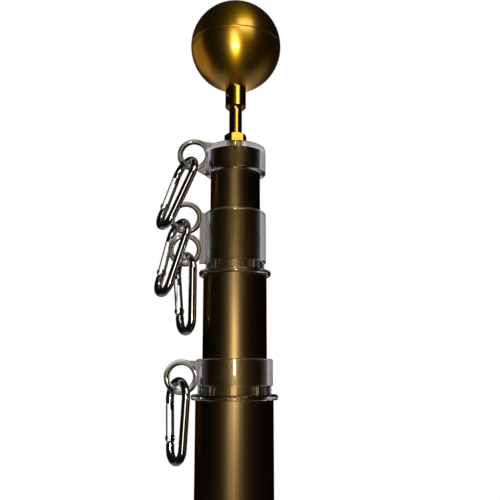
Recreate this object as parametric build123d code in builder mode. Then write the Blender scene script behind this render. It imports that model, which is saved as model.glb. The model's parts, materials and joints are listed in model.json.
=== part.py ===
from build123d import *
import os
from math import asin, atan2, cos, degrees, radians, sin, sqrt

os.makedirs("parts", exist_ok=True)

# A telescoping flagpole, stored collapsed. Millimetres, +Z up, origin at ground level on the
# pole's axis. The eyes of the swivel rings point to -X and the front is -Y.

# Sliding tubes
top_d = 40.0
tube_step = 10.0
tube_wall = 2.0
outer_top = 1510.0
middle_rise = 95.0
top_rise = 101.0

# Clearances
slide_gap = 0.3
press_gap = 0.05
seat_gap = 0.2
pin_gap = 0.05
cut_overrun = 1.0

# Base plug that closes the foot of the outer tube
base_flange = 8.0
base_spigot = 40.0
base_edge = 1.0
base_inset = 0.5

# Guide cups on the lower ends of the two sliding tubes
guide_floor = 3.0
guide_length = 60.0

# Clear collars in the tops of the outer and middle tubes
collar_skirt = 80.0
collar_flange = 4.2
collar_lip = 3.4
collar_neck = 6.3
collar_neck_wall = 3.0
collar_slots = 10
collar_slot_width = 4.0
collar_flange_round = 1.6

# Clear swivel rings
ring_wall = 4.2
ring_shoulder_round = 2.6
ring_foot_round = 0.8
single_shoulder_round = 1.0
cap_height = 22.0
cap_top = 4.3
double_height = 41.0
single_height = 20.0

# Eyes on the swivel rings: round bars bent to a circle, on a flat web
eye_bend_r = 11.3
eye_bar_r = 2.3
web_thickness = 4.0
cap_eye_reach = 33.8
cap_eye_drop = 5.0
cap_fin_rise = 5.0
cap_fin_outer = 18.0
cap_fin_inner = 12.0
double_eye_reach = 39.6
double_eye_drop = 3.8
double_eye_pitch = 26.1
single_eye_reach = 41.0
single_eye_drop = 13.5

# Finial: plug, stud, washer, nut, ferrule and a ball in two halves
plug_length = 34.0
stud_d = 10.5
stud_in_plug = 26.0
washer_d = 18.0
washer_thickness = 3.5
nut_flats = 16.0
nut_height = 8.4
nut_turn = 12.5
nut_chamfer = 1.2
nut_face_d = 15.2
ball_d = 75.0
ball_wall = 1.5
ball_seam = 0.5
ferrule_d = 17.0
ferrule_rise = 34.5
ferrule_neck = 18.5
ferrule_insert = 4.0
ferrule_chamfer = 1.5
screw_d = 4.0
screw_length = 3.0
screw_rise = 10.0
screw_socket = 2.0
screw_turn = 220.0

# Snap hooks
wire_d = 6.4
hook_length = 66.0
top_bow_r = 12.5
end_bow_r = 9.5
eye_play = 0.6
hook_turn = 55.0
cap_hook_lean = 23.5
cap_hook_slip = 0.5
cap_hook_lift = 0.25
upper_hook_lean = 17.5
upper_hook_slip = 2.0
upper_hook_lift = 1.2
lower_hook_lean = 0.0
single_hook_lean = 3.0
single_hook_slip = 3.0
single_hook_lift = 2.0
tab_thickness = 2.4
fork_gap = 0.3
hinge_shoulder = 4.5
hinge_pivot = 8.5
rivet_d = 2.6
rivet_head_d = 4.0
rivet_head = 0.5
nose_shoulder = 3.0
nose_tab = 5.0
gate_end_gap = 0.5

# Sizes and heights worked out from the values above
middle_d = top_d + tube_step
outer_d = middle_d + tube_step
base_top = base_flange + base_spigot
middle_top = outer_top + middle_rise
top_top = middle_top + top_rise
middle_foot = base_top + guide_floor
top_foot = middle_foot + guide_floor
collar_height = collar_flange + collar_neck
single_foot = outer_top + collar_height + seat_gap
double_foot = middle_top + collar_height + seat_gap
cap_crown = top_top + seat_gap + cap_top
wire_r = wire_d / 2
eye_hole_r = eye_bend_r - eye_bar_r
eye_web_r = eye_bend_r + eye_bar_r / 2


def bore(diameter):
    """Inside diameter of a tube."""
    return diameter - 2 * tube_wall


def save(piece, name):
    """Label one piece and write it to its own file."""
    piece.label = name
    export_step(piece, f"parts/{name}.step")


def tube(name, diameter, foot, top):
    """Plain drawn tube."""
    with BuildPart() as shell:
        with BuildSketch(Plane.XY.offset(foot)):
            Circle(diameter / 2)
            Circle(bore(diameter) / 2, mode=Mode.SUBTRACT)
        extrude(amount=top - foot)
    save(shell.part, name)


def guide(name, tube_d, host_d, foot):
    """Cup on a tube's lower end that runs inside the next tube."""
    with BuildPart() as cup:
        with BuildSketch(Plane.XY.offset(foot)):
            Circle(bore(host_d) / 2 - slide_gap)
        extrude(amount=guide_length)
        with BuildSketch(Plane.XY.offset(foot + guide_floor)):
            Circle(tube_d / 2 + press_gap)
        extrude(amount=guide_length, mode=Mode.SUBTRACT)
    save(cup.part, name)


def collar(name, host_d, rod_d, seat):
    """Flanged bush with a castellated neck, seated on the top rim of a tube."""
    rod_r = rod_d / 2 + slide_gap
    neck_r = rod_r + collar_neck_wall
    with BuildPart() as bush:
        with BuildSketch(Plane.XY.offset(seat - collar_skirt)):
            Circle(bore(host_d) / 2 - press_gap)
        extrude(amount=collar_skirt)
        with BuildSketch(Plane.XY.offset(seat)):
            Circle(host_d / 2 + collar_lip)
        extrude(amount=collar_flange)
        rim = bush.edges().filter_by(GeomType.CIRCLE).group_by(SortBy.RADIUS)[-1]
        fillet(rim, collar_flange_round)
        with BuildSketch(Plane.XY.offset(seat + collar_flange)):
            Circle(neck_r)
        extrude(amount=collar_neck)
        with BuildSketch(Plane.XY.offset(seat - collar_skirt)):
            Circle(rod_r)
        extrude(amount=collar_skirt + collar_height, mode=Mode.SUBTRACT)
        with BuildSketch(Plane.XY.offset(seat + collar_flange)):
            with PolarLocations(rod_r + collar_neck_wall / 2, collar_slots, start_angle=-90):
                Rectangle(collar_neck_wall + cut_overrun, collar_slot_width)
        extrude(amount=collar_neck, mode=Mode.SUBTRACT)
    save(bush.part, name)


def swivel_ring(name, rod_d, foot, height, closed_top, shoulder, web_points, eyes):
    """Clear ring that turns on a tube, with a flat web and one or more round eyes."""
    bore_r = rod_d / 2 + slide_gap
    with BuildPart() as ring:
        with BuildSketch(Plane.XY.offset(foot)):
            Circle(bore_r + ring_wall)
        extrude(amount=height)
        round_edges = ring.edges().filter_by(GeomType.CIRCLE).sort_by(Axis.Z)
        fillet(round_edges[-1], shoulder)
        fillet(ring.edges().filter_by(GeomType.CIRCLE).sort_by(Axis.Z)[0], ring_foot_round)
        with BuildSketch(Plane.XZ):
            Polygon(*web_points, align=None)
        extrude(amount=web_thickness / 2, both=True)
        with BuildSketch(Plane.XZ):
            with Locations(*eyes):
                Circle(eye_bend_r)
        extrude(amount=web_thickness, both=True, mode=Mode.SUBTRACT)
        for eye_x, eye_z in eyes:
            with Locations((eye_x, 0, eye_z)):
                Torus(eye_bend_r, eye_bar_r, rotation=(90, 0, 0))
        with BuildSketch(Plane.XY.offset(foot)):
            Circle(bore_r)
        extrude(amount=height - closed_top, mode=Mode.SUBTRACT)
        if closed_top:
            with BuildSketch(Plane.XY.offset(foot)):
                Circle(stud_d / 2 + slide_gap)
            extrude(amount=height + cut_overrun, mode=Mode.SUBTRACT)
    save(ring.part, name)


def hook_plane(eye, lean, slip, lift):
    """Plane of a hanging hook: x from gate to spine, y up the hook, origin at the eye's centre.

    A hook that has slipped along its bow lies towards its gate and a little higher.
    """
    turn = radians(hook_turn)
    across = Vector(cos(turn), -sin(turn), 0).rotate(Axis.Y, lean)
    normal = Vector(-sin(turn), -cos(turn), 0).rotate(Axis.Y, lean)
    centred = Plane(origin=(eye[0], 0, eye[1]), x_dir=across, z_dir=normal)
    return Plane(origin=centred.from_local_coords((-slip, lift, 0)), x_dir=across, z_dir=normal)


# The hook's wire follows a belt line round two circles, with a straight spine on one side and
# the gate along the other straight side.
bow_top = -(eye_hole_r - wire_r - eye_play)
top_centre = (0, bow_top - top_bow_r)
hook_foot = bow_top + wire_r - hook_length
end_centre = (top_bow_r - end_bow_r, hook_foot + wire_r + end_bow_r)
belt_lean = atan2(end_centre[0], top_centre[1] - end_centre[1])
gate_side = radians(180) + 2 * belt_lean
gate_head = (top_centre[0] + top_bow_r * cos(gate_side), top_centre[1] + top_bow_r * sin(gate_side))
gate_heel = (end_centre[0] + end_bow_r * cos(gate_side), end_centre[1] + end_bow_r * sin(gate_side))
gate_run = sqrt((gate_head[0] - gate_heel[0]) ** 2 + (gate_head[1] - gate_heel[1]) ** 2)
gate_dir = ((gate_head[0] - gate_heel[0]) / gate_run, (gate_head[1] - gate_heel[1]) / gate_run)


def along_gate(distance):
    """Point on the gate's straight line, measured up from its heel."""
    return (gate_heel[0] + gate_dir[0] * distance, gate_heel[1] + gate_dir[1] * distance)


def snap_hook(name, eye, lean, slip=0, lift=0):
    """Bent-wire snap hook: frame, sprung gate and the rivet that the gate turns on."""
    plane = hook_plane(eye, lean, slip, lift)
    pivot = plane.from_local_coords((*along_gate(hinge_pivot), 0))
    up_gate = plane.from_local_coords((*along_gate(gate_run), 0)) - pivot
    gate_plane = Plane(origin=pivot, x_dir=up_gate, z_dir=plane.z_dir)
    tab_r = wire_r - fork_gap
    nose_start = gate_run - nose_shoulder - hinge_pivot

    with BuildPart() as frame:
        with BuildLine(plane) as wire_line:
            Line(along_gate(gate_run - nose_shoulder), gate_head)
            CenterArc(top_centre, top_bow_r, degrees(gate_side), -degrees(gate_side))
            Line((top_bow_r, top_centre[1]), (top_bow_r, end_centre[1]))
            CenterArc(end_centre, end_bow_r, 0, degrees(gate_side) - 360)
            Line(gate_heel, along_gate(hinge_shoulder))
        with BuildSketch(Plane(origin=wire_line.line @ 0, z_dir=wire_line.line % 0)):
            Circle(wire_r)
        sweep(path=wire_line.line)
        with BuildSketch(gate_plane):
            Circle(tab_r)
            with Locations((-hinge_pivot / 2, 0)):
                Rectangle(hinge_pivot, 2 * tab_r)
            with Locations((nose_start + nose_shoulder / 2 - nose_tab / 2, 0)):
                Rectangle(nose_shoulder + nose_tab, 2 * tab_r)
        extrude(amount=tab_thickness / 2, both=True)
        with BuildSketch(gate_plane):
            Circle(rivet_d / 2 + pin_gap)
        extrude(amount=wire_d, both=True, mode=Mode.SUBTRACT)
    save(frame.part, name)

    gate_top = nose_start - gate_end_gap
    slot_half = tab_thickness / 2 + fork_gap
    with BuildPart() as gate:
        with BuildSketch(Plane(origin=pivot, z_dir=up_gate).offset(-wire_r)):
            Circle(wire_r)
        extrude(amount=gate_top + wire_r)
        with BuildSketch(gate_plane):
            Circle(wire_r)
            with Locations((gate_top / 2, 0)):
                Rectangle(gate_top, wire_d)
        extrude(amount=wire_d, both=True, mode=Mode.INTERSECT)
        with BuildSketch(gate_plane):
            Circle(wire_r + gate_end_gap)
            with Locations((-wire_r, 0)):
                Rectangle(wire_d, wire_d + cut_overrun)
            with Locations((gate_top, 0)):
                Rectangle(2 * nose_tab + gate_end_gap, wire_d + cut_overrun)
        extrude(amount=slot_half, both=True, mode=Mode.SUBTRACT)
        with BuildSketch(gate_plane):
            Circle(rivet_d / 2 + pin_gap)
        extrude(amount=wire_d, both=True, mode=Mode.SUBTRACT)
    save(gate.part, f"{name}_gate")

    with BuildPart() as rivet:
        with BuildSketch(gate_plane):
            Circle(rivet_d / 2)
        extrude(amount=wire_r + press_gap, both=True)
        for side in (1, -1):
            with BuildSketch(gate_plane.offset(side * (wire_r + press_gap))):
                Circle(rivet_head_d / 2)
            extrude(amount=side * rivet_head)
    save(rivet.part, f"{name}_rivet")


# Ground section
tube("outer_tube", outer_d, base_flange, outer_top)
collar("outer_collar", outer_d, middle_d, outer_top)

with BuildPart() as base_plug:
    with BuildSketch(Plane.XY):
        Circle(outer_d / 2 - base_inset)
    extrude(amount=base_flange)
    chamfer(base_plug.edges().filter_by(GeomType.CIRCLE).sort_by(Axis.Z)[0], base_edge)
    with BuildSketch(Plane.XY.offset(base_flange)):
        Circle(bore(outer_d) / 2 - press_gap)
    extrude(amount=base_spigot)
save(base_plug.part, "base_plug")

# Middle section
tube("middle_tube", middle_d, middle_foot, middle_top)
guide("middle_guide", middle_d, outer_d, base_top)
collar("middle_collar", middle_d, top_d, middle_top)

# Top section
tube("top_tube", top_d, top_foot, top_top)
guide("top_guide", top_d, middle_d, middle_foot)

with BuildPart() as top_plug:
    with BuildSketch(Plane.XY.offset(top_top)):
        Circle(bore(top_d) / 2 - press_gap)
        Circle(stud_d / 2 + press_gap, mode=Mode.SUBTRACT)
    extrude(amount=-plug_length)
save(top_plug.part, "top_plug")

ball_r = ball_d / 2
ferrule_foot = cap_crown + ferrule_rise
ferrule_top = ferrule_foot + ferrule_neck + ferrule_insert
ball_centre = ferrule_foot + ferrule_neck + sqrt(ball_r**2 - (ferrule_d / 2) ** 2)
washer_foot = cap_crown + seat_gap
nut_foot = washer_foot + washer_thickness

with BuildPart() as finial_stud:
    with BuildSketch(Plane.XY.offset(top_top - stud_in_plug)):
        Circle(stud_d / 2)
    extrude(amount=ferrule_top - top_top + stud_in_plug)
save(finial_stud.part, "finial_stud")

with BuildPart() as finial_washer:
    with BuildSketch(Plane.XY.offset(washer_foot)):
        Circle(washer_d / 2)
        Circle(stud_d / 2 + press_gap, mode=Mode.SUBTRACT)
    extrude(amount=washer_thickness)
save(finial_washer.part, "finial_washer")

nut_corner_r = nut_flats / 2 / cos(radians(30))
nut_side = nut_height - 2 * nut_chamfer
with BuildPart() as finial_nut:
    with BuildSketch(Plane.XY.offset(nut_foot)):
        RegularPolygon(nut_flats / 2, 6, major_radius=False, rotation=nut_turn)
    extrude(amount=nut_height)
    with BuildSketch(Plane.XZ):
        with BuildLine():
            Polyline(
                (0, nut_foot),
                (nut_face_d / 2, nut_foot),
                (nut_corner_r, nut_foot + nut_chamfer),
                (nut_corner_r, nut_foot + nut_chamfer + nut_side),
                (nut_face_d / 2, nut_foot + nut_height),
                (0, nut_foot + nut_height),
                close=True,
            )
        make_face()
    revolve(axis=Axis.Z, mode=Mode.INTERSECT)
    with BuildSketch(Plane.XY.offset(nut_foot)):
        Circle(stud_d / 2 + press_gap)
    extrude(amount=nut_height, mode=Mode.SUBTRACT)
save(finial_nut.part, "finial_nut")

screw_plane = Plane(
    origin=(0, 0, ferrule_foot + screw_rise),
    z_dir=(cos(radians(screw_turn)), sin(radians(screw_turn)), 0),
)
with BuildPart() as finial_ferrule:
    with BuildSketch(Plane.XY.offset(ferrule_foot)):
        Circle(ferrule_d / 2)
    extrude(amount=ferrule_top - ferrule_foot)
    chamfer(finial_ferrule.edges().filter_by(GeomType.CIRCLE).sort_by(Axis.Z)[0], ferrule_chamfer)
    with BuildSketch(Plane.XY.offset(ferrule_foot)):
        Circle(stud_d / 2 + press_gap)
    extrude(amount=ferrule_top - ferrule_foot, mode=Mode.SUBTRACT)
    with BuildSketch(screw_plane):
        Circle(screw_d / 2 + press_gap)
    extrude(amount=ferrule_d, mode=Mode.SUBTRACT)
save(finial_ferrule.part, "finial_ferrule")

with BuildPart() as ferrule_screw:
    with BuildSketch(screw_plane.offset(stud_d / 2 + press_gap)):
        Circle(screw_d / 2)
    extrude(amount=screw_length)
    with BuildSketch(screw_plane.offset(stud_d / 2 + press_gap + screw_length)):
        RegularPolygon(screw_socket / 2, 6, major_radius=False)
    extrude(amount=-screw_length / 2, mode=Mode.SUBTRACT)
save(ferrule_screw.part, "ferrule_screw")


def ball_half(name, side):
    """One spun half of the ball, grooved at the seam: side is 1 for the upper half, -1 for the lower."""
    half_plane = Plane(origin=(0, 0, ball_centre), x_dir=(1, 0, 0), z_dir=(0, -side, 0))
    seam_angle = degrees(asin(ball_seam / ball_r))
    with BuildPart() as half:
        with BuildSketch(half_plane):
            with BuildLine():
                outside = CenterArc((0, 0), ball_r, seam_angle, 90 - seam_angle)
                inside = CenterArc((0, 0), ball_r - ball_wall, 0, 90)
                Line(outside @ 1, inside @ 1)
                Line(inside @ 0, (ball_r - ball_seam, 0))
                Line((ball_r - ball_seam, 0), outside @ 0)
            make_face()
        revolve(axis=Axis.Z)
        if side < 0:
            with BuildSketch(Plane.XY.offset(ball_centre - ball_r)):
                Circle(ferrule_d / 2 + press_gap)
            extrude(amount=ball_r, mode=Mode.SUBTRACT)
    save(half.part, name)


ball_half("ball_lower_half", -1)
ball_half("ball_upper_half", 1)

# Swivel rings, each with the outline of its web from the ring out to the eyes
cap_r = top_d / 2 + slide_gap + ring_wall
cap_foot = cap_crown - cap_height
cap_eye = (-cap_eye_reach, cap_crown - cap_eye_drop)
cap_web = [
    (cap_eye[0], cap_eye[1] + eye_web_r),
    (-cap_fin_outer, cap_crown + cap_fin_rise),
    (-cap_fin_inner, cap_crown),
    (-cap_r + ring_wall / 2, cap_foot),
    (-cap_r, cap_foot),
    (cap_eye[0], cap_eye[1] - eye_bend_r),
]
swivel_ring("cap_ring", top_d, cap_foot, cap_height, cap_top, ring_shoulder_round, cap_web, [cap_eye])

double_crown = double_foot + double_height
upper_eye = (-double_eye_reach, double_crown - double_eye_drop)
lower_eye = (-double_eye_reach, upper_eye[1] - double_eye_pitch)
double_web_edge = double_eye_reach - eye_bend_r
double_web = [
    (-double_web_edge, double_crown),
    (-cap_r + ring_wall / 2, double_crown),
    (-cap_r + ring_wall / 2, double_foot),
    (-double_web_edge, double_foot),
]
swivel_ring(
    "double_ring", top_d, double_foot, double_height, 0, ring_shoulder_round, double_web, [upper_eye, lower_eye]
)

single_crown = single_foot + single_height
single_r = middle_d / 2 + slide_gap + ring_wall
single_eye = (-single_eye_reach, single_crown - single_eye_drop)
single_web = [
    (single_eye[0], single_eye[1] + eye_web_r),
    (-single_r + ring_wall / 2, single_eye[1] + eye_web_r),
    (-single_r + ring_wall / 2, single_foot),
    (-single_r, single_foot),
    (single_eye[0], single_eye[1] - eye_bend_r),
]
swivel_ring(
    "single_ring", middle_d, single_foot, single_height, 0, single_shoulder_round, single_web, [single_eye]
)

# Snap hooks, hanging from their eyes
snap_hook("cap_hook", cap_eye, cap_hook_lean, cap_hook_slip, cap_hook_lift)
snap_hook("upper_hook", upper_eye, upper_hook_lean, upper_hook_slip, upper_hook_lift)
snap_hook("lower_hook", lower_eye, lower_hook_lean)
snap_hook("single_hook", single_eye, single_hook_lean, single_hook_slip, single_hook_lift)
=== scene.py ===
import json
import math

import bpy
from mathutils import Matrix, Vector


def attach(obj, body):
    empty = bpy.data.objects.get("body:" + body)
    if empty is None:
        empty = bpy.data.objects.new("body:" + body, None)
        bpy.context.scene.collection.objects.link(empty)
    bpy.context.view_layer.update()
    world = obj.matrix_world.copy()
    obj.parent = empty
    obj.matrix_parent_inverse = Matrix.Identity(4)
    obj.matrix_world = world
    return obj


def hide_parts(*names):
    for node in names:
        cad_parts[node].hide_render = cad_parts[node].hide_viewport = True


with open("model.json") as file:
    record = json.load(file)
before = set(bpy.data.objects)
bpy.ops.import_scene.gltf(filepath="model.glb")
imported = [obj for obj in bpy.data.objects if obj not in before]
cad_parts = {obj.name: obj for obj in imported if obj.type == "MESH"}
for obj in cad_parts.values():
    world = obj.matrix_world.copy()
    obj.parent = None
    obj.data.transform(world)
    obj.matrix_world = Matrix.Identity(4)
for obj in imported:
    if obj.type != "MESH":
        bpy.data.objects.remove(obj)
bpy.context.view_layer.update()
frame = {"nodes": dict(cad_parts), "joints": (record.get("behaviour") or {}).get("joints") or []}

# %% [markdown]
# # A telescoping flagpole, stored collapsed
# The pole comes in from CAD with every tube, ring, hook and ball already at its true size and place, so
# this script gives it finishes, light and a camera.

nodes = frame["nodes"]
joints = {joint["name"]: joint for joint in frame["joints"]}
MM = 0.001

# %% [markdown]
# ## Colours and nodes
# Paint charts and photo editors give colours as sRGB hex values, while a renderer adds light up in linear
# values. One function turns the first into the second. A second small function adds a shader node, sets
# it and links it, so that each finish below reads as a short recipe.

# %% Two helpers
def linear(hex_colour):
    """sRGB hex such as "#8a6a0a" as linear RGBA."""
    channels = [int(hex_colour[i:i + 2], 16) / 255 for i in (1, 3, 5)]
    return [c / 12.92 if c <= 0.04045 else ((c + 0.055) / 1.055) ** 2.4 for c in channels] + [1.0]


def add_node(tree, kind, settings=None, inputs=None, links=None):
    """Add one node: settings are its properties, inputs its socket values, links its incoming sockets."""
    node = tree.nodes.new(kind)
    for name, value in (settings or {}).items():
        setattr(node, name, value)
    for socket, value in (inputs or {}).items():
        node.inputs[socket].default_value = value
    for socket, source in (links or {}).items():
        tree.links.new(source, node.inputs[socket])
    return node


def new_material(name):
    """An empty node material and its output node."""
    material = bpy.data.materials.new(name)
    material.use_nodes = True
    material.node_tree.nodes.clear()
    output = add_node(material.node_tree, "ShaderNodeOutputMaterial")
    return material, material.node_tree, output


def finish_nodes(material, *names):
    """Give CAD nodes one finish."""
    for name in names:
        mesh = nodes[name].data
        mesh.materials.clear()
        mesh.materials.append(material)
    print(material.name, "on", ", ".join(names))


# %% [markdown]
# ## Bronze anodised aluminium
# The three tubes are drawn aluminium, etched and then anodised in dark bronze. The dye sits in a clear
# oxide layer over metal, so we use a metal with a dark brown colour. The etch leaves it satin: a lamp
# beside the camera shows as one soft streak down the tube. Drawing leaves faint lines along the tube,
# which we make from noise stretched a hundred times along Z.

# %% Bronze anodised aluminium
RAMP_LOW, RAMP_HIGH = 0.3, 0.7
DRAW_LINE_MM = 1.6
DRAW_LINE_STRETCH = 0.01
DRAW_LINE_DEPTH_MM = 0.05
DRAW_LINE_BUMP = 0.05
SCUFF_MM = 45.0
ETCHED_ROUGHNESS = {"To Min": 0.34, "To Max": 0.4}


def two_tone(tree, value, low, high):
    """Blend between two sRGB colours over the middle of a noise's range."""
    colour = add_node(tree, "ShaderNodeValToRGB", links={"Fac": value})
    for element, place, tone in zip(colour.color_ramp.elements, (RAMP_LOW, RAMP_HIGH), (low, high)):
        element.position = place
        element.color = linear(tone)
    return colour.outputs["Color"]


def bronze_anodised_aluminium():
    """Dark bronze metal with faint lines along Z."""
    material, tree, output = new_material("bronze_anodised_aluminium")
    place = add_node(tree, "ShaderNodeTexCoord").outputs["Object"]
    stretched = add_node(tree, "ShaderNodeMapping", inputs={"Scale": (1, 1, DRAW_LINE_STRETCH)},
                         links={"Vector": place}).outputs["Vector"]
    lines = add_node(tree, "ShaderNodeTexNoise", inputs={"Scale": 1 / (DRAW_LINE_MM * MM), "Detail": 3.0},
                     links={"Vector": stretched}).outputs["Fac"]
    cloud = add_node(tree, "ShaderNodeTexNoise", inputs={"Scale": 1 / (SCUFF_MM * MM), "Detail": 4.0},
                     links={"Vector": place}).outputs["Fac"]
    rough = add_node(tree, "ShaderNodeMapRange", inputs=ETCHED_ROUGHNESS,
                     links={"Value": cloud}).outputs["Result"]
    bump = add_node(tree, "ShaderNodeBump",
                    inputs={"Strength": DRAW_LINE_BUMP, "Distance": DRAW_LINE_DEPTH_MM * MM},
                    links={"Height": lines}).outputs["Normal"]
    shader = add_node(tree, "ShaderNodeBsdfPrincipled",
                      inputs={"Metallic": 1.0, "Specular Tint": linear("#3a2c1c")},
                      links={"Base Color": two_tone(tree, lines, "#5f4b2c", "#6b5532"),
                             "Roughness": rough, "Normal": bump})
    tree.links.new(shader.outputs["BSDF"], output.inputs["Surface"])
    return material


finish_nodes(bronze_anodised_aluminium(), "outer_tube", "middle_tube", "top_tube")

# %% [markdown]
# ## Gold anodised aluminium
# The ball is spun from two aluminium cups and gold anodised. Spinning leaves fine rings round the axis,
# and such rings pull a highlight out across them, so the lamp shows as an upright flame on the ball.
# Blender does this with the shader's Anisotropic value and a tangent that runs round Z. The oxide over
# the dye is clear as glass and reflects white, which a thin coat adds. The turned ferrule, stud, washer
# and nut below the ball are brighter and less grained.

# %% Gold anodised aluminium
SPIN_LINE_MM = 0.9
SPIN_LINE_STRETCH = 0.02
SPIN_LINE_DEPTH_MM = 0.02
SPIN_ROUGHNESS_SPREAD = 0.03
DYE_CLOUD_MM = 12.0
OXIDE_COAT = {"Coat Weight": 1.0, "Coat Roughness": 0.2}
QUARTER_TURN = 0.25


def gold_anodised_aluminium(name, roughness, anisotropic, line_strength):
    """Gold metal with fine rings round Z under a clear coat."""
    material, tree, output = new_material(name)
    place = add_node(tree, "ShaderNodeTexCoord").outputs["Object"]
    rings = add_node(tree, "ShaderNodeMapping", inputs={"Scale": (SPIN_LINE_STRETCH, SPIN_LINE_STRETCH, 1)},
                     links={"Vector": place}).outputs["Vector"]
    lines = add_node(tree, "ShaderNodeTexNoise", inputs={"Scale": 1 / (SPIN_LINE_MM * MM), "Detail": 2.0},
                     links={"Vector": rings}).outputs["Fac"]
    cloud = add_node(tree, "ShaderNodeTexNoise", inputs={"Scale": 1 / (DYE_CLOUD_MM * MM), "Detail": 3.0},
                     links={"Vector": place}).outputs["Fac"]
    rough = add_node(tree, "ShaderNodeMapRange",
                     inputs={"To Min": roughness - SPIN_ROUGHNESS_SPREAD,
                             "To Max": roughness + SPIN_ROUGHNESS_SPREAD},
                     links={"Value": lines}).outputs["Result"]
    bump = add_node(tree, "ShaderNodeBump",
                    inputs={"Strength": line_strength, "Distance": SPIN_LINE_DEPTH_MM * MM},
                    links={"Height": lines}).outputs["Normal"]
    around = add_node(tree, "ShaderNodeTangent", {"direction_type": "RADIAL", "axis": "Z"}).outputs["Tangent"]
    shader = add_node(tree, "ShaderNodeBsdfPrincipled",
                      inputs={"Metallic": 1.0, "Anisotropic": anisotropic,
                              "Anisotropic Rotation": QUARTER_TURN, **OXIDE_COAT},
                      links={"Base Color": two_tone(tree, cloud, "#d09a12", "#dba61c"),
                             "Roughness": rough, "Normal": bump, "Tangent": around})
    tree.links.new(shader.outputs["BSDF"], output.inputs["Surface"])
    return material


spun_gold = gold_anodised_aluminium("gold_anodised_spun_aluminium",
                                    roughness=0.34, anisotropic=0.6, line_strength=0.06)
turned_gold = gold_anodised_aluminium("gold_anodised_turned_aluminium",
                                      roughness=0.16, anisotropic=0.2, line_strength=0.04)
finish_nodes(spun_gold, "ball_upper_half", "ball_lower_half")
finish_nodes(turned_gold, "finial_ferrule", "finial_stud", "finial_washer", "finial_nut")

# %% [markdown]
# ## Clear polycarbonate
# The swivel rings and the collars are moulded in clear polycarbonate. It bends light strongly, so the
# dark tube behind it shows shifted and the ring's edges draw dark lines, while the pale surroundings
# shine through the flat webs. Its pale grey colour gives it a faint smoky tint. Lamplight falls through the
# rings on to the tube inside, so they cast no shadow.

# %% Clear polycarbonate
RIPPLE_MM = 9.0
RIPPLE_DEPTH_MM = 0.2
RIPPLE_BUMP = 0.12
POLYCARBONATE = {"Roughness": 0.03, "IOR": 1.585, "Transmission Weight": 1.0}


def clear_polycarbonate():
    """Clear plastic with the faint ripple of a moulded surface."""
    material, tree, output = new_material("clear_polycarbonate")
    place = add_node(tree, "ShaderNodeTexCoord").outputs["Object"]
    ripple = add_node(tree, "ShaderNodeTexNoise", inputs={"Scale": 1 / (RIPPLE_MM * MM), "Detail": 1.0},
                      links={"Vector": place}).outputs["Fac"]
    bump = add_node(tree, "ShaderNodeBump",
                    inputs={"Strength": RIPPLE_BUMP, "Distance": RIPPLE_DEPTH_MM * MM},
                    links={"Height": ripple}).outputs["Normal"]
    shader = add_node(tree, "ShaderNodeBsdfPrincipled",
                      inputs={"Base Color": linear("#cfcec6"), **POLYCARBONATE}, links={"Normal": bump})
    tree.links.new(shader.outputs["BSDF"], output.inputs["Surface"])
    return material


CLEAR = ("cap_ring", "double_ring", "single_ring", "outer_collar", "middle_collar")
finish_nodes(clear_polycarbonate(), *CLEAR)
for name in CLEAR:
    nodes[name].visible_shadow = False

# %% [markdown]
# ## Black nylon
# The foot plug, the guide cups on the hidden ends of the tubes and the plug under the finial are moulded
# in black nylon with a fine spark-eroded texture. Only the foot plug shows, and only from below.

# %% Black nylon
SPARK_GRAIN_MM = 0.6
SPARK_GRAIN_DEPTH_MM = 0.04
SPARK_GRAIN_BUMP = 0.25
NYLON_ROUGHNESS = {"To Min": 0.42, "To Max": 0.62}
NYLON_IOR = 1.53


def black_nylon():
    """Black plastic with a fine grain."""
    material, tree, output = new_material("black_nylon")
    place = add_node(tree, "ShaderNodeTexCoord").outputs["Object"]
    grain = add_node(tree, "ShaderNodeTexNoise", inputs={"Scale": 1 / (SPARK_GRAIN_MM * MM), "Detail": 2.0},
                     links={"Vector": place}).outputs["Fac"]
    rough = add_node(tree, "ShaderNodeMapRange", inputs=NYLON_ROUGHNESS,
                     links={"Value": grain}).outputs["Result"]
    bump = add_node(tree, "ShaderNodeBump",
                    inputs={"Strength": SPARK_GRAIN_BUMP, "Distance": SPARK_GRAIN_DEPTH_MM * MM},
                    links={"Height": grain}).outputs["Normal"]
    shader = add_node(tree, "ShaderNodeBsdfPrincipled",
                      inputs={"Base Color": linear("#17171a"), "IOR": NYLON_IOR},
                      links={"Roughness": rough, "Normal": bump})
    tree.links.new(shader.outputs["BSDF"], output.inputs["Surface"])
    return material


finish_nodes(black_nylon(), "base_plug", "middle_guide", "top_guide", "top_plug")

# %% [markdown]
# ## Nickel-plated steel
# The snap hooks are bent from round steel wire and plated with bright nickel. Plating is a mirror, a
# little warmer than chrome, with soft polishing ripples, so it needs dark and light things to reflect
# more than it needs colour.

# %% Nickel-plated steel
POLISH_MM = 4.0
POLISH_DEPTH_MM = 0.1
POLISH_BUMP = 0.06


def nickel_plated_steel(name, smooth, dull):
    """Plated metal whose roughness drifts between two values."""
    material, tree, output = new_material(name)
    place = add_node(tree, "ShaderNodeTexCoord").outputs["Object"]
    polish = add_node(tree, "ShaderNodeTexNoise", inputs={"Scale": 1 / (POLISH_MM * MM), "Detail": 3.0},
                      links={"Vector": place}).outputs["Fac"]
    rough = add_node(tree, "ShaderNodeMapRange", inputs={"To Min": smooth, "To Max": dull},
                     links={"Value": polish}).outputs["Result"]
    bump = add_node(tree, "ShaderNodeBump",
                    inputs={"Strength": POLISH_BUMP, "Distance": POLISH_DEPTH_MM * MM},
                    links={"Height": polish}).outputs["Normal"]
    shader = add_node(tree, "ShaderNodeBsdfPrincipled",
                      inputs={"Base Color": linear("#d2cfc8"), "Metallic": 1.0},
                      links={"Roughness": rough, "Normal": bump})
    tree.links.new(shader.outputs["BSDF"], output.inputs["Surface"])
    return material


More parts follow.
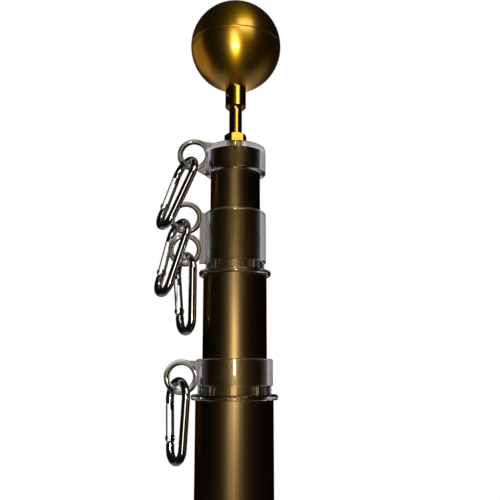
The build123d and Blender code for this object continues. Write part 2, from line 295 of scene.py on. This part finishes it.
HOOKS = ("cap", "upper", "lower", "single")
bright_nickel = nickel_plated_steel("bright_nickel_plated_steel", smooth=0.08, dull=0.16)
tumbled_nickel = nickel_plated_steel("tumbled_nickel_plated_steel", smooth=0.26, dull=0.32)
finish_nodes(bright_nickel, *[f"{hook}_hook" for hook in HOOKS])
finish_nodes(tumbled_nickel, "ferrule_screw", *[f"{hook}_hook_gate" for hook in HOOKS])

# %% [markdown]
# ## Rivets of the gates
# Each gate turns on a steel rivet whose two ends are hammered into low domes. The CAD model has plain
# flat heads, so we make the domed ones here. All four rivets follow one rule, a pin with the same dome at
# each end, so one Geometry Nodes tree makes them from a few sizes, and each copy is turned on to the axis
# that its hinge has in CAD.

# %% One rivet as a node tree
ROUND_SIDES = 24
DOME_RINGS = 12


def rivet_tree(material):
    """A pin along Z with a dome at each end, turned and placed by its last two inputs."""
    tree = bpy.data.node_groups.new("domed_rivet", "GeometryNodeTree")
    tree.interface.new_socket("Geometry", in_out="OUTPUT", socket_type="NodeSocketGeometry")
    for name in ("Pin Radius", "Head Radius", "Head Height", "Grip"):
        tree.interface.new_socket(name, in_out="INPUT", socket_type="NodeSocketFloat")
    for name in ("Turn", "Place"):
        tree.interface.new_socket(name, in_out="INPUT", socket_type="NodeSocketVector")
    size = add_node(tree, "NodeGroupInput").outputs
    pin = add_node(tree, "GeometryNodeMeshCylinder", inputs={"Vertices": ROUND_SIDES},
                   links={"Radius": size["Pin Radius"], "Depth": size["Grip"]}).outputs["Mesh"]
    dome = add_node(tree, "GeometryNodeMeshUVSphere",
                    inputs={"Segments": ROUND_SIDES, "Rings": DOME_RINGS, "Radius": 1.0}).outputs["Mesh"]
    flat = add_node(tree, "ShaderNodeCombineXYZ",
                    links={"X": size["Head Radius"], "Y": size["Head Radius"],
                           "Z": size["Head Height"]}).outputs["Vector"]
    foot = add_node(tree, "ShaderNodeMath", {"operation": "MULTIPLY"}, {1: -0.5},
                    {0: size["Grip"]}).outputs[0]
    first = add_node(tree, "ShaderNodeCombineXYZ", links={"Z": foot}).outputs["Vector"]
    step = add_node(tree, "ShaderNodeCombineXYZ", links={"Z": size["Grip"]}).outputs["Vector"]
    ends = add_node(tree, "GeometryNodeMeshLine", inputs={"Count": 2},
                    links={"Start Location": first, "Offset": step}).outputs["Mesh"]
    heads = add_node(tree, "GeometryNodeInstanceOnPoints",
                     links={"Points": ends, "Instance": dome, "Scale": flat}).outputs["Instances"]
    rivet = add_node(tree, "GeometryNodeJoinGeometry", links={"Geometry": pin})
    tree.links.new(heads, rivet.inputs["Geometry"])
    placed = add_node(tree, "GeometryNodeTransform",
                      links={"Geometry": rivet.outputs["Geometry"], "Rotation": size["Turn"],
                             "Translation": size["Place"]}).outputs["Geometry"]
    real = add_node(tree, "GeometryNodeRealizeInstances", links={"Geometry": placed}).outputs["Geometry"]
    smooth = add_node(tree, "GeometryNodeSetShadeSmooth", links={"Geometry": real}).outputs["Geometry"]
    finished = add_node(tree, "GeometryNodeSetMaterial", inputs={"Material": material},
                        links={"Geometry": smooth}).outputs["Geometry"]
    add_node(tree, "NodeGroupOutput", links={"Geometry": finished})
    return tree


RIVET_MM = {"Pin Radius": 1.3, "Head Radius": 2.0, "Head Height": 0.55, "Grip": 6.5}
rivets = rivet_tree(bright_nickel)
sockets = {item.name: item.identifier for item in rivets.interface.items_tree if item.in_out == "INPUT"}
print("rivet inputs:", ", ".join(sockets))

# %% Four rivets on their hinges
for hook in HOOKS:
    hinge = joints[f"{hook}_gate_hinge"]
    turn = Vector((0, 0, 1)).rotation_difference(Vector(hinge["axis"])).to_euler()
    maker = bpy.data.objects.new(f"{hook}_rivet_maker", bpy.data.meshes.new(f"{hook}_rivet_start"))
    bpy.context.scene.collection.objects.link(maker)
    modifier = maker.modifiers.new("rivet", "NODES")
    modifier.node_group = rivets
    for name, value in RIVET_MM.items():
        modifier[sockets[name]] = value * MM
    modifier[sockets["Turn"]] = tuple(turn)
    modifier[sockets["Place"]] = tuple(hinge["pos_m"])
    made = maker.evaluated_get(bpy.context.evaluated_depsgraph_get())
    mesh = bpy.data.meshes.new_from_object(made)
    bpy.data.objects.remove(maker)
    rivet = bpy.data.objects.new(f"{hook}_domed_rivet", mesh)
    bpy.context.scene.collection.objects.link(rivet)
    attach(rivet, f"{hook}_snap")
    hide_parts(f"{hook}_hook_rivet")
    print(rivet.name, len(mesh.polygons), "faces")

# %% [markdown]
# ## Floor
# The pole stands on a plain pale round floor, which takes its shadow. The camera looks up past it, so it
# shows only in views from further away. Mirrors leave it out, because the ball hangs in a dark room where
# no floor shines.

# %% Floor
FLOOR_RADIUS = 7.0
FLOOR_CORNERS = 96
rim = [2 * math.pi * corner / FLOOR_CORNERS for corner in range(FLOOR_CORNERS)]
floor_mesh = bpy.data.meshes.new("floor")
corners = [(FLOOR_RADIUS * math.cos(angle), FLOOR_RADIUS * math.sin(angle), 0) for angle in rim]
floor_mesh.from_pydata(corners, [], [tuple(range(FLOOR_CORNERS))])
floor = bpy.data.objects.new("floor", floor_mesh)
bpy.context.scene.collection.objects.link(floor)
floor.visible_glossy = False
paint, tree, output = new_material("pale_floor_paint")
matt = add_node(tree, "ShaderNodeBsdfDiffuse", inputs={"Color": linear("#f2f1ef")})
tree.links.new(matt.outputs["BSDF"], output.inputs["Surface"])
floor_mesh.materials.append(paint)
print("floor", FLOOR_RADIUS, "m in radius")

# %% [markdown]
# ## The room round the pole
# A camera sees the room as plain white. Polished metal and clear plastic need more than that: a mirror
# in an all-white room has no shape. So mirror rays find dark walls with a dim glow low down behind the
# pole. Rays that pass straight through the plastic find upright warm grey panels all round, and the dark
# gaps between them, above and below draw the edges of the rings and eyes. Rays that bounce about inside
# the plastic find a cool grey light behind the pole. Matt surfaces get an even pale light.

# %% Room
MATT_LEVEL = 1.0
MIRROR_LEVEL = 0.008
PLASTIC_LEVEL = 0.78
LOW_GLOW = 0.26
PANELS = 8
PANEL_EDGE = {"From Min": -0.2, "From Max": 0.4}
PANEL_ENDS = {"From Min": 0.6, "From Max": 0.35}
GLOW_EDGE = {"From Min": -0.2, "From Max": -0.55}
BACK_EDGE = {"From Min": 0.0, "From Max": 0.5}
world = bpy.data.worlds.new("studio")
bpy.context.scene.world = world
world.use_nodes = True
world.cycles.sampling_method = "NONE"
sky = world.node_tree
sky.nodes.clear()


def calculate(operation, numbers=None, **terms):
    """One sum on the room's light: numbers by socket, and incoming sockets as a, b and c."""
    sockets = {"abc".index(name): source for name, source in terms.items()}
    return add_node(sky, "ShaderNodeMath", {"operation": operation}, numbers, sockets).outputs[0]


def ramp(edge, value):
    """Rise from 0 to 1 across an edge."""
    return add_node(sky, "ShaderNodeMapRange", inputs=edge, links={"Value": value}).outputs["Result"]


def glowing(hex_colour, strength=1.0):
    """A wall that glows in one colour."""
    return add_node(sky, "ShaderNodeBackground", inputs={"Color": linear(hex_colour), "Strength": strength})


def choose(share, first, second):
    """The first wall where the share is 0, the second where it is 1."""
    return add_node(sky, "ShaderNodeMixShader", links={0: share, 1: first, 2: second}).outputs["Shader"]


# %% Where a ray goes and what it has met
rays = add_node(sky, "ShaderNodeLightPath").outputs
direction = add_node(sky, "ShaderNodeTexCoord").outputs["Generated"]
heading = add_node(sky, "ShaderNodeSeparateXYZ", links={"Vector": direction}).outputs
low = ramp(GLOW_EDGE, heading["Z"])
behind = ramp(BACK_EDGE, heading["Y"])
unbounced = calculate("LESS_THAN", {1: 0.5}, a=rays["Glossy Depth"])
straight = calculate("MULTIPLY", a=rays["Is Transmission Ray"], b=unbounced)
bounced = calculate("SUBTRACT", a=rays["Is Transmission Ray"], b=straight)
print("sorted rays:", len(sky.nodes), "nodes")

# %% Panels seen straight through the plastic
around = calculate("ARCTAN2", a=heading["Y"], b=heading["X"])
wave = calculate("COSINE", a=calculate("MULTIPLY", {1: PANELS}, a=around))
level_part = ramp(PANEL_ENDS, calculate("ABSOLUTE", a=heading["Z"]))
upright = calculate("MULTIPLY", a=ramp(PANEL_EDGE, wave), b=level_part)
through = calculate("MULTIPLY", a=straight, b=upright)
print("panels:", PANELS)

# %% Walls for each kind of ray
glow = calculate("MULTIPLY", a=low, b=behind)
mirrored = calculate("MULTIPLY_ADD", {1: LOW_GLOW, 2: MIRROR_LEVEL}, a=glow)
bent = calculate("MULTIPLY", a=bounced, b=behind)
dark = calculate("MULTIPLY_ADD", {1: PLASTIC_LEVEL}, a=bent, c=mirrored)
dim = glowing("#e2dff0")
sky.links.new(dark, dim.inputs["Strength"])
walls = choose(through, dim.outputs[0], glowing("#a9a294").outputs[0])
lit = choose(rays["Is Diffuse Ray"], walls, glowing("#ffffff", MATT_LEVEL).outputs[0])
mixed = choose(rays["Is Camera Ray"], lit, glowing("#ffffff").outputs[0])
add_node(sky, "ShaderNodeOutputWorld", links={"Surface": mixed})
print("room: matt level", MATT_LEVEL, "mirror level", MIRROR_LEVEL)

# %% [markdown]
# ## Lamps
# A small lamp beside the camera draws the hot streak on the tubes and glints on the hooks. A tall strip
# in front carries that streak down the whole pole, and one behind does the same for the back. A soft
# square lamp, high and to the right, shows as the yellow patch on the ball, and a large warm card on the
# left gives the ball its orange edge. A white card in front whitens the dull gates between the bright
# hooks. Two more strips hang higher up for the tubes when the pole is run out to its full height. Light
# linking names what each lamp lights or leaves out, as a photographer does with black flags: it keeps the
# front strip's mirror line off the clear rings, for one.

# %% Lamps
def soft_lamp(name, place, target, width, height, watts):
    """A rectangular lamp that faces a target, in metres and watts."""
    data = bpy.data.lights.new(name, "AREA")
    data.shape = "RECTANGLE"
    data.size = width
    data.size_y = height
    data.energy = watts
    lamp = bpy.data.objects.new(name, data)
    lamp.location = place
    lamp.rotation_euler = (Vector(target) - Vector(place)).to_track_quat("-Z", "Y").to_euler()
    bpy.context.scene.collection.objects.link(lamp)
    print(name, watts, "W")
    return lamp


def light_only(lamp, state, pieces):
    """Let a lamp light these pieces only, or all but them."""
    group = bpy.data.collections.new(f"{lamp.name}_{state.lower()}")
    for piece in pieces:
        group.objects.link(piece)
    for entry in group.collection_objects:
        entry.light_linking.link_state = state
    lamp.light_linking.receiver_collection = group


# %% Lamps in their places
TUBES = ("outer_tube", "middle_tube", "top_tube")
BALL = ("ball_lower_half", "ball_upper_half")
GATES = tuple(f"{hook}_hook_gate" for hook in HOOKS)
STRIP_AWAY = 2.6
MAST_STRIP_UP = 3.8
CARD_COLOUR = (1.0, 0.7, 0.2)
# Each row: place, target, width, height, watts
LAMPS = {
    "camera_lamp": ((0.012, -0.56, 1.56), (0, 0, 1.6), 0.06, 0.06, 1.3),
    "front_strip": ((-0.15, -STRIP_AWAY, 1.35), (0, 0, 1.35), 0.7, 2.4, 15.0),
    "back_strip": ((0, STRIP_AWAY, 0.65), (0, 0, 0.65), 0.35, 1.2, 14.0),
    "high_lamp": ((0.56, -1.15, 2.57), (0, 0, 1.8), 0.8, 0.8, 6.0),
    "left_card": ((-1.9, 0.9, 1.6), (0, 0, 1.8), 2.0, 2.2, 4.5),
    "gate_card": ((-0.35, -0.95, 1.7), (-0.05, 0, 1.6), 2.4, 2.4, 30.0),
    "front_mast_strip": ((0, -STRIP_AWAY, MAST_STRIP_UP), (0, 0, MAST_STRIP_UP), 0.7, 2.0, 16.0),
    "back_mast_strip": ((0, STRIP_AWAY, MAST_STRIP_UP), (0, 0, MAST_STRIP_UP), 0.7, 2.0, 16.0),
}
LINKS = {
    "high_lamp": ("EXCLUDE", TUBES),
    "front_strip": ("EXCLUDE", CLEAR),
    "back_strip": ("INCLUDE", TUBES + BALL),
    "left_card": ("INCLUDE", BALL),
    "gate_card": ("INCLUDE", GATES),
    "front_mast_strip": ("INCLUDE", TUBES),
    "back_mast_strip": ("INCLUDE", TUBES),
}
lamps = {name: soft_lamp(name, *row) for name, row in LAMPS.items()}
lamps["left_card"].data.color = CARD_COLOUR
for name, (state, pieces) in LINKS.items():
    unlit_floor = [floor] if name == "front_strip" else []
    light_only(lamps[name], state, unlit_floor + [nodes[piece] for piece in pieces])

# %% [markdown]
# ## Camera
# The photographer stood half a metre from the pole, near the lowest ring, and tilted the camera up at
# the ball. So close, the perspective is strong: the pole narrows upwards and each ring's rim curves.

# %% Camera
EYE = (0.0119, -0.532, 1.528)
TILT_UP_DEG = 10.5
LENS_MM = 48.96
SENSOR_MM = 36.0
NEAREST = 0.01
camera_data = bpy.data.cameras.new("camera")
camera_data.lens = LENS_MM
camera_data.sensor_width = SENSOR_MM
camera_data.clip_start = NEAREST
camera = bpy.data.objects.new("camera", camera_data)
camera.location = EYE
camera.rotation_euler = (math.radians(90 + TILT_UP_DEG), 0, 0)
bpy.context.scene.collection.objects.link(camera)
bpy.context.scene.camera = camera
bpy.context.scene.view_settings.view_transform = "Standard"
print("camera", LENS_MM, "mm lens at", EYE)
